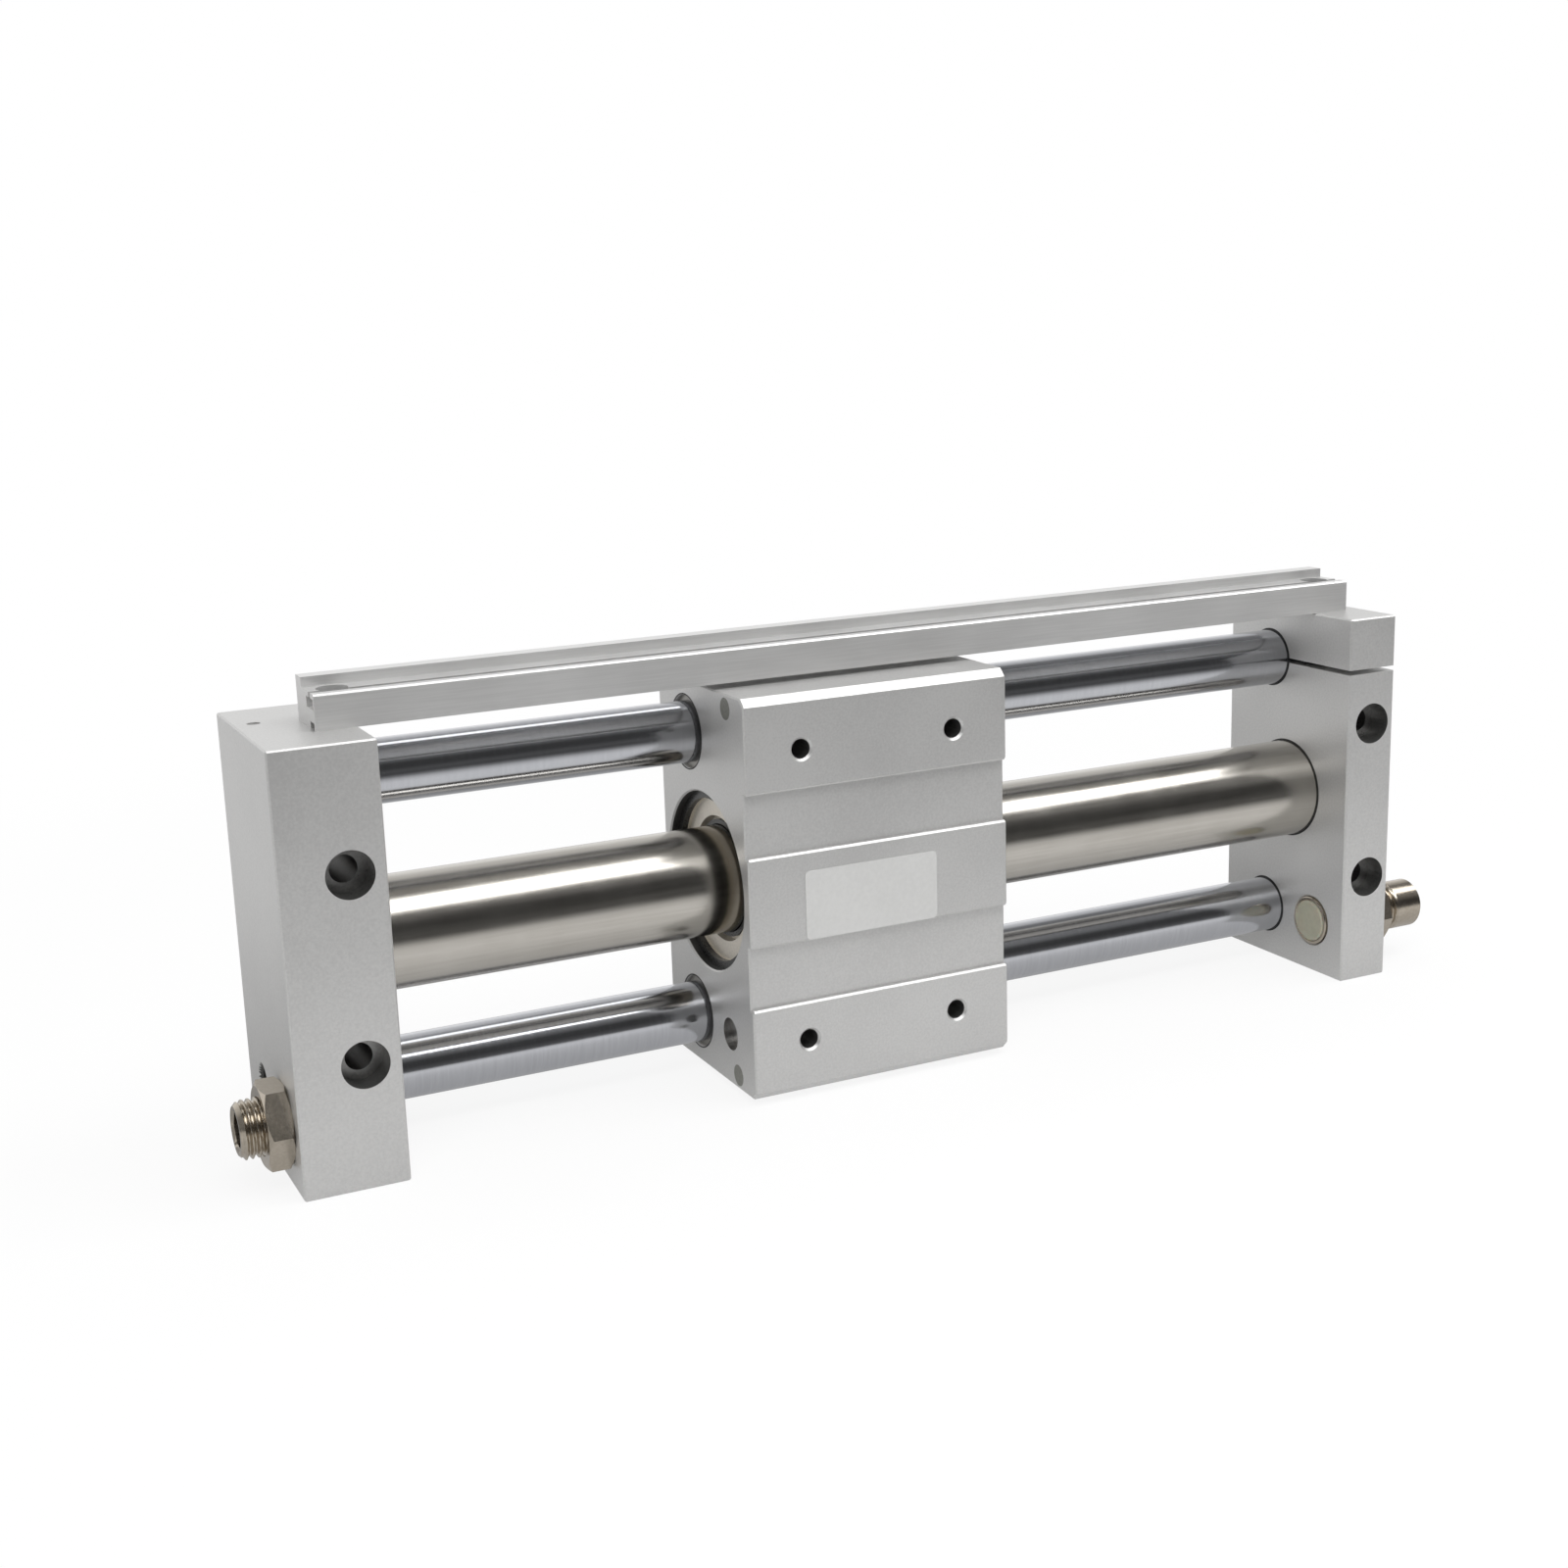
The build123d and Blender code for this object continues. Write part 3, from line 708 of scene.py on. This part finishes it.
@dataclass
class HoleShadePaint:
    """Painted shade inside the round holes of an anodised node: a darker, tool-marked finish on
    their walls.

    Places are the holes' two coordinates across their axis.
    """

    node: str
    along: Axis
    places: tuple[tuple[float, float], ...]
    radius: float
    end_margin: float
    finish: Finish = PAINTED_SHADE_DRILLED_WALL

    def paint(self, piece: bpy.types.Object) -> int:
        """Give the faces inside the holes the darker finish that paints their shade.

        Args:
            piece: the node's own object.

        Returns:
            How many faces took it.
        """
        low, high, _middle = middle_of(self.node)
        along = self.along.value
        first, second = (axis for axis in range(3) if axis != along)
        start, end = low[along] + self.end_margin, high[along] - self.end_margin
        piece.data.materials.append(self.finish.material())
        index = len(piece.data.materials) - 1
        painted = 0
        for face in piece.data.polygons:
            middle = piece.matrix_world @ face.center
            near = any(
                math.hypot(middle[first] - place[0], middle[second] - place[1]) < self.radius
                for place in self.places
            )
            if near and start < middle[along] < end:
                face.material_index = index
                painted += 1
        return painted


BODY_BOLT_X = 146.5 * MM
BODY_BOLT_HEIGHTS = (22.5 * MM, -22.5 * MM)
TABLE_HOLE_PLACES = (-33.7 * MM, 9.3 * MM)
TABLE_HOLE_HEIGHTS = (37.5 * MM, -37.5 * MM)
MAGNET_BORE_PLACE = (-26.5 * MM, 0.0)
STOP_POCKET_PLACE = (-38.9 * MM, -37.7 * MM)
SIDE_PORT_PLACE = (-16.2 * MM, -36.1 * MM)
# Hole walls painted darker, standing for the shade inside the holes.
HOLE_SHADE_PAINTS = (
    *(
        HoleShadePaint(
            f"{side.word}_end_plate", Axis.Y,
            places=tuple((side.value * BODY_BOLT_X, height) for height in BODY_BOLT_HEIGHTS),
            radius=6.0 * MM, end_margin=0.4 * MM,
        )
        for side in Side
    ),
    HoleShadePaint(
        "slide_block", Axis.Y,
        places=tuple((x, height) for x in TABLE_HOLE_PLACES for height in TABLE_HOLE_HEIGHTS),
        radius=3.0 * MM, end_margin=0.65 * MM,
    ),
    # The magnet bore's wall painted near black as its shade.
    HoleShadePaint(
        "slide_block", Axis.X, places=(MAGNET_BORE_PLACE,),
        radius=24.8 * MM, end_margin=0.45 * MM, finish=PAINTED_SHADE_BORE,
    ),
    # The stop pocket painted in the darker plug steel finish as the shade in its hollow.
    HoleShadePaint(
        "slide_block", Axis.X, places=(STOP_POCKET_PLACE,),
        radius=4.5 * MM, end_margin=0.3 * MM, finish=PLUG_STEEL,
    ),
    # The side port painted near black as the shade inside it.
    HoleShadePaint(
        "left_end_plate", Axis.X, places=(SIDE_PORT_PLACE,),
        radius=5.2 * MM, end_margin=0.2 * MM, finish=PAINTED_SHADE_BORE,
    ),
)


@dataclass
class StopSet:
    """A threaded stop bolt, which carries its bumper and is locked by its nut.

    Its shape is a list of rows. Each gives a depth from one end of the bolt and the radius there.
    """

    side: Side
    pitch: float = 1.5 * MM
    thread_depth: float = 0.85 * MM
    crest_share: float = 0.15
    flank_share: float = 0.7
    steps_per_pitch: int = 12
    thread_stop: float = 0.2 * MM
    chamfer: float = 1.2 * MM
    pocket_radius: float = 6.0 * MM
    pocket_depth: float = 3.6 * MM
    pocket_edge: float = 0.25 * MM
    plain_rim: float = 1.0 * MM
    plain_end: float = 0.0
    socket_across: float = 8.0 * MM
    socket_depth: float = 8.0 * MM
    socket_rim: float = 0.35 * MM
    socket_lead: float = 0.5 * MM
    drill_tip_depth: float = 1.5 * MM
    drill_tip_radius: float = 0.4 * MM
    segments: int = 96

    def build(self) -> bpy.types.Object:
        """Model the bolt with its helical thread in place of the plain one.

        Returns:
            The new bolt.
        """
        node = f"{self.side.word}_stop_bolt"
        low, high, middle = middle_of(node)
        out = self.side.value
        inner, outer = (low.x, high.x) if out > 0 else (high.x, low.x)
        radius = (high.z - low.z) / 2
        from_inner = self._pocket(radius) + self._thread(radius, abs(outer - inner))
        rows = [(inner + out * depth, reach) for depth, reach in from_inner]
        rows += [(outer - out * depth, reach) for depth, reach in self._socket(radius)]
        rings = rings_of(rows, middle, self.segments)
        piece = skin(f"{self.side.word}_threaded_stop_bolt", rings)
        finish_piece(piece, NICKEL, Body.FRAME)
        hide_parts(node)
        return piece

    def _pocket(self, radius: float) -> list[Row]:
        """The bumper's pocket and the rim around it.

        Args:
            radius: the bolt's outer radius.

        Returns:
            The rows from the pocket's floor to the rim, from the inner end.
        """
        edge = self.pocket_edge
        return [
            (self.pocket_depth, self.pocket_radius),
            (edge, self.pocket_radius),
            (0.0, self.pocket_radius + edge),
            (0.0, radius - edge),
            (edge, radius),
        ]

    def _thread(self, radius: float, length: float) -> list[Row]:
        """The helical thread.

        Args:
            radius: the bolt's outer radius.
            length: the bolt's length.

        Returns:
            The rows from the plain rim to the outer chamfer, from the inner end.
        """
        step = self.pitch / self.steps_per_pitch
        count = int((length - self.plain_rim - self.thread_stop) / step)
        rows: list[Row] = []
        for row in range(count):
            depth = self.plain_rim + row * step
            limit = radius - max(0.0, self.chamfer - (length - depth))
            run_out = (length - self.plain_end - depth) / self.pitch if self.plain_end else 1.0
            fade = min(1.0, row * step / self.pitch, max(0.0, run_out))
            wall = partial(self._flank, depth=depth, radius=radius, limit=limit, fade=fade)
            rows.append((depth, wall))
        return rows

    def _flank(
        self, angle: float, depth: float, radius: float, limit: float, fade: float
    ) -> float:
        """The thread's radius at an angle.

        Args:
            angle: the angle round the bolt in radians.
            depth: the place from the bolt's inner end.
            radius: the bolt's outer radius.
            limit: the greatest radius at this place.
            fade: how much of the thread's depth is cut at this place.

        Returns:
            The radius.
        """
        turn = (depth / self.pitch - self.side.value * angle / FULL_TURN) % 1.0
        cut = min(1.0, max(0.0, (abs(turn - 0.5) * 2 - self.crest_share) / self.flank_share))
        return min(limit, radius - self.thread_depth * cut * fade)

    def _socket(self, radius: float) -> list[Row]:
        """The outer face and the hexagon socket in it.

        Args:
            radius: the bolt's outer radius.

        Returns:
            The rows from the face's edge to the tip of the socket's drilling, from the outer end.
        """
        corner = self.socket_across / 2 * HEXAGON_CORNER
        return [
            (0.0, radius - self.chamfer),
            (0.0, corner + self.socket_rim),
            (self.socket_lead, self._hexagon),
            (self.socket_depth, self._hexagon),
            (self.socket_depth + self.drill_tip_depth, self.drill_tip_radius),
        ]

    def _hexagon(self, angle: float) -> float:
        """The socket's radius at an angle.

        Args:
            angle: the angle round the bolt in radians.

        Returns:
            The radius.
        """
        sixth = FULL_TURN / 6
        return self.socket_across / 2 / math.cos((angle % sixth) - sixth / 2)


@dataclass
class SmoothRound:
    """A finely divided tube or shaft that stands for a round node, with broken edges."""

    node: str
    finish: Finish
    bore_radius: float = 0.0
    edge: float = 0.4 * MM
    segments: int = 192

    def build(self) -> bpy.types.Object:
        """Model the round in place of its node.

        Returns:
            The new tube or shaft.
        """
        low, high, middle = middle_of(self.node)
        radius = (high.z - low.z) / 2
        left_end = (low.x, radius - self.edge)
        outside = [
            (low.x + self.edge, radius),
            (high.x - self.edge, radius),
            (high.x, radius - self.edge),
        ]
        name = f"smooth_{self.node}"
        if self.bore_radius:
            bore = [(high.x, self.bore_radius), (low.x, self.bore_radius)]
            rows = [*outside, *bore, left_end]
            piece = hollow(name, rings_of(rows, middle, self.segments))
        else:
            piece = skin(name, rings_of([left_end, *outside], middle, self.segments))
        finish_piece(piece, self.finish, Body.FRAME)
        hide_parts(self.node)
        return piece


@dataclass
class JointLine:
    """A thin ring of painted shadow round a tube, a shaft or a bush where it enters a carrier's
    end face.

    Outward is the sign of the direction along X that the face looks in.
    """

    node: str
    carrier: str
    outward: int
    body: Body = Body.FRAME
    width: float = 0.45 * MM
    proud: float = 0.04 * MM
    gap: float = 0.03 * MM
    segments: int = 128

    def build(self) -> bpy.types.Object:
        """Lay the painted shadow ring on the carrier's face around the round node.

        Returns:
            The new ring.
        """
        low, high, middle = middle_of(self.node)
        carrier_low, carrier_high, _middle = middle_of(self.carrier)
        face = carrier_high.x if self.outward > 0 else carrier_low.x
        front = face + self.outward * self.proud
        inner = (high.z - low.z) / 2 + self.gap
        outer = inner + self.width
        rows = [(face, inner), (front, inner), (front, outer), (face, outer)]
        rings = rings_of(rows, middle, self.segments)
        piece = hollow(f"joint_line_{self.carrier}_{self.node}", rings)
        # The black rubber finish paints the shadow in the seam; no rubber ring sits here.
        finish_piece(piece, RUBBER, self.body)
        return piece


@dataclass
class BlankLabel:
    """The bare film label on the slide block's middle pad.

    Left and right are measured from the block's left end, bottom and top from the axis.
    """

    left: float = 15.4 * MM
    right: float = 52.9 * MM
    bottom: float = -11.3 * MM
    top: float = 6.5 * MM
    thickness: float = 0.12 * MM
    corner: float = 1.2 * MM
    corner_steps: int = 6

    def build(self) -> bpy.types.Object:
        """Lay the label on the pad.

        Returns:
            The new label.
        """
        low, _high, _middle = middle_of("slide_block")
        outline = self._outline(low.x)
        count = len(outline)
        levels = (low.y, low.y - self.thickness)
        vertices = [(x, y, z) for y in levels for x, z in outline]
        back, front = tuple(range(count)), tuple(range(2 * count - 1, count - 1, -1))
        faces = [back, front, *band_between(count, 0, count)]
        piece = link_mesh("blank_label", vertices, faces)
        face_outward(piece)
        finish_piece(piece, LABEL_FILM, Body.SLIDER)
        return piece

    def _outline(self, block_left: float) -> list[tuple[float, float]]:
        """The label's outline with its rounded corners.

        Args:
            block_left: the slide block's left end along X.

        Returns:
            Points in X and Z, in order.
        """
        left = block_left + self.left + self.corner
        right = block_left + self.right - self.corner
        bottom, top = self.bottom + self.corner, self.top - self.corner
        quarter = FULL_TURN / 4
        points = []
        middles = ((right, top), (left, top), (left, bottom), (right, bottom))
        for turn, (x, z) in enumerate(middles):
            for step in range(self.corner_steps + 1):
                angle = quarter * (turn + step / self.corner_steps)
                along, up = self.corner * math.cos(angle), self.corner * math.sin(angle)
                points.append((x + along, z + up))
        return points


@dataclass(frozen=True)
class Softbox:
    """A soft lamp, in metres and watts."""

    name: str
    place: Place
    aim: Place
    width: float
    depth: float
    power: float

    def build(self) -> None:
        """Hang the lamp."""
        data = bpy.data.lights.new(self.name, "AREA")
        data.shape = "RECTANGLE"
        data.size = self.width
        data.size_y = self.depth
        data.energy = self.power
        lamp = bpy.data.objects.new(self.name, data)
        lamp.location = self.place
        toward = Vector(self.aim) - Vector(self.place)
        lamp.rotation_euler = toward.to_track_quat("-Z", "Y").to_euler()
        bpy.context.scene.collection.objects.link(lamp)


@dataclass
class Studio:
    """The white floor, the room that the metal mirrors, the soft lamps and the camera.

    Room bands give degrees from the front horizon up and over to the back, and a grey tone.
    Floor bands give a place along Y and a grey tone.
    """

    floor_level: float
    camera_place: Place = (-0.25308, -0.49941, 0.14594)
    camera_aim: Place = (-0.02590, -0.02650, 0.02243)
    camera_roll: float = -1.83
    lens: float = 47.82
    sensor: float = 36.0
    nearest: float = 0.01
    farthest: float = 50.0
    floor_reach: float = 6.0
    floor_colour: tuple[float, ...] = (0.93, 0.93, 0.93, 1.0)
    floor_roughness: float = 0.9
    floor_specular: float = 0.1
    shadow_share: float = 0.13
    shadow_start: float = 0.22
    shadow_end: float = 0.50
    room_light: float = 0.46
    room_bands: tuple[tuple[float, float], ...] = (
        (-12.0, 0.10),
        (4.0, 0.10),
        (14.0, 0.05),
        (30.0, 0.05),
        (46.0, 0.20),
        (86.0, 0.24),
        (104.0, 0.18),
        (122.0, 0.22),
        (134.0, 0.60),
        (152.0, 0.80),
        (162.0, 1.0),
    )
    floor_bands: tuple[tuple[float, float], ...] = (
        (-0.60, 0.08),
        (-0.33, 0.25),
        (-0.27, 0.45),
        (-0.15, 0.80),
        (-0.085, 0.80),
        (-0.045, 0.60),
        (-0.02, 0.48),
        (0.01, 0.32),
        (0.06, 0.44),
        (0.20, 0.75),
    )
    softboxes: tuple[Softbox, ...] = (
        Softbox(
            "top_softbox", place=(0.25, -0.53, 1.20), aim=(0.05, -0.03, 0.0),
            width=2.4, depth=0.6, power=17.0,
        ),
        Softbox(
            "back_softbox", place=(-0.15, 0.34, 1.02), aim=(-0.05, -0.02, 0.04),
            width=1.3, depth=0.2, power=1.5,
        ),
        Softbox(
            "left_softbox", place=(-1.1, -0.35, 0.55), aim=(-0.05, -0.02, 0.0),
            width=0.7, depth=0.7, power=0.08,
        ),
    )

    def build(self) -> None:
        """Make the floor, the room, the lamps and the camera."""
        self._floor()
        self._room()
        for softbox in self.softboxes:
            softbox.build()
        self._camera()
        bpy.context.scene.view_settings.view_transform = "Standard"

    def _floor(self) -> None:
        """Lay a large white floor that keeps the part's shadow and turns plain white around it."""
        reach, level = self.floor_reach, self.floor_level
        corners = ((-reach, -reach), (reach, -reach), (reach, reach), (-reach, reach))
        floor = link_mesh("studio_floor", [(x, y, level) for x, y in corners], [(0, 1, 2, 3)])
        material = bpy.data.materials.new("studio_floor")
        material.use_nodes = True
        tree = material.node_tree
        paint = tree.nodes["Principled BSDF"]
        paint.inputs["Base Color"].default_value = self.floor_colour
        paint.inputs["Roughness"].default_value = self.floor_roughness
        paint.inputs["Specular IOR Level"].default_value = self.floor_specular
        place = tree.nodes.new("ShaderNodeNewGeometry").outputs["Position"]
        middle = tree.nodes.new("ShaderNodeVectorMath")
        middle.operation = "LENGTH"
        tree.links.new(place, middle.inputs[0])
        fade = add_range(
            tree, middle.outputs["Value"], (self.shadow_start, self.shadow_end),
            (1.0 - self.shadow_share, 1.0), "SMOOTHSTEP",
        )
        rays = tree.nodes.new("ShaderNodeLightPath").outputs
        direct = add_math(tree, "MAXIMUM", rays["Is Camera Ray"], rays["Is Transmission Ray"])
        share = add_math(tree, "MULTIPLY", direct, fade)
        white = add_glow(tree, "ShaderNodeEmission", WHITE)
        # The metal sees painted tones on the floor, with a painted shadow under the part, in place
        # of its lit colour.
        mirrored = add_glow(tree, "ShaderNodeEmission", self._floor_tone(tree, place))
        plain = add_mix(tree, share, paint.outputs["BSDF"], white)
        surface = add_mix(tree, rays["Is Glossy Ray"], plain, mirrored)
        tree.links.new(surface, tree.nodes["Material Output"].inputs["Surface"])
        floor.data.materials.append(material)
        floor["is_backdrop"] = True

    def _floor_tone(
        self, tree: bpy.types.NodeTree, place: bpy.types.NodeSocket
    ) -> bpy.types.NodeSocket:
        """Grade the mirrored floor from the dark room in front to a painted shadow strip under the
        part.

        Args:
            tree: the floor's nodes.
            place: the place on the floor.

        Returns:
            The tone at a place on the floor.
        """
        parts = tree.nodes.new("ShaderNodeSeparateXYZ")
        tree.links.new(place, parts.inputs["Vector"])
        span = (self.floor_bands[0][0], self.floor_bands[-1][0])
        return self._tone(tree, parts.outputs["Y"], self.floor_bands, span)

    @staticmethod
    def _tone(
        tree: bpy.types.NodeTree,
        value: bpy.types.NodeSocket,
        bands: Sequence[tuple[float, float]],
        span: tuple[float, float],
    ) -> bpy.types.NodeSocket:
        """Turn a value into the grey tone of its band.

        Args:
            tree: the nodes that need it.
            value: the value to turn.
            bands: value and tone of each stop, in order.
            span: the least and greatest value.

        Returns:
            The tone.
        """
        first, last = span
        stops = [((place - first) / (last - first), (tone,) * 3) for place, tone in bands]
        return add_ramp(tree, add_range(tree, value, span), stops)

    def _room(self) -> None:
        """Show white to the camera, dark bands to the metal and a plain level to the rest."""
        world = bpy.data.worlds.new("studio_world")
        bpy.context.scene.world = world
        world.use_nodes = True
        tree = world.node_tree
        tree.nodes.clear()
        rays = tree.nodes.new("ShaderNodeLightPath").outputs
        room = add_glow(tree, "ShaderNodeBackground", WHITE, self.room_light)
        mirrored = add_glow(tree, "ShaderNodeBackground", self._room_tone(tree))
        shown = add_glow(tree, "ShaderNodeBackground", WHITE)
        room = add_mix(tree, rays["Is Glossy Ray"], room, mirrored)
        for ray in ("Is Transmission Ray", "Is Camera Ray"):
            room = add_mix(tree, rays[ray], room, shown)
        out = tree.nodes.new("ShaderNodeOutputWorld")
        tree.links.new(room, out.inputs["Surface"])

    def _room_tone(self, tree: bpy.types.NodeTree) -> bpy.types.NodeSocket:
        """Grade the mirrored room from the front horizon over the top to the back.

        Args:
            tree: the world's nodes.

        Returns:
            The tone in a direction of the room.
        """
        direction = tree.nodes.new("ShaderNodeTexCoord").outputs["Generated"]
        parts = tree.nodes.new("ShaderNodeSeparateXYZ")
        tree.links.new(direction, parts.inputs["Vector"])
        front = add_math(tree, "MULTIPLY", parts.outputs["Y"], -1.0)
        height = add_math(tree, "ARCTAN2", parts.outputs["Z"], front)
        bands = [(math.radians(degrees), tone) for degrees, tone in self.room_bands]
        return self._tone(tree, height, bands, (-math.pi, math.pi))

    def _camera(self) -> None:
        """Place the camera where the photographer stood."""
        data = bpy.data.cameras.new("photo_camera")
        data.sensor_width = self.sensor
        data.lens = self.lens
        data.clip_start = self.nearest
        data.clip_end = self.farthest
        camera = bpy.data.objects.new("photo_camera", data)
        toward = Vector(self.camera_aim) - Vector(self.camera_place)
        turn = toward.to_track_quat("-Z", "Y").to_matrix().to_4x4()
        roll = Matrix.Rotation(math.radians(self.camera_roll), 4, "Z")
        camera.matrix_world = Matrix.Translation(self.camera_place) @ turn @ roll
        bpy.context.scene.collection.objects.link(camera)
        bpy.context.scene.camera = camera


def main() -> None:
    """Load the frame, build every piece around it and light it."""
    logging.basicConfig(level=logging.INFO, format="%(message)s")
    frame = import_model()
    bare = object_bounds()
    log.info("nodes dressed: %d", NodeDresser(frame).dress())
    for holes in HOLE_SHADE_PAINTS:
        log.info("drilled faces on %s: %d", holes.node, holes.paint(frame["nodes"][holes.node]))
    for stop_set in (StopSet(Side.LEFT), StopSet(Side.RIGHT, plain_end=9.0 * MM)):
        log.info("built %s", stop_set.build().name)
    for smooth in (
        SmoothRound("cylinder_tube", STAINLESS, bore_radius=12.5 * MM),
        SmoothRound("upper_guide_shaft", HARD_CHROME),
        SmoothRound("lower_guide_shaft", HARD_CHROME, bore_radius=3.5 * MM),
    ):
        log.info("built %s", smooth.build().name)
        for side in Side:
            # A ring of painted shadow where the round enters each end plate.
            line = JointLine(smooth.node, f"{side.word}_end_plate", -side.value)
            log.info("built %s", line.build().name)
    for side in Side:
        for height in ("upper", "lower"):
            bush = f"{height}_{side.word}_bush"
            # A ring of painted shadow where each bush meets the slide block's end face.
            line = JointLine(bush, "slide_block", side.value, Body.SLIDER, width=0.35 * MM)
            log.info("built %s", line.build().name)
    log.info("built %s", BlankLabel().build().name)
    Studio(floor_level=bare[0][2]).build()


if __name__ == "__main__":
    main()
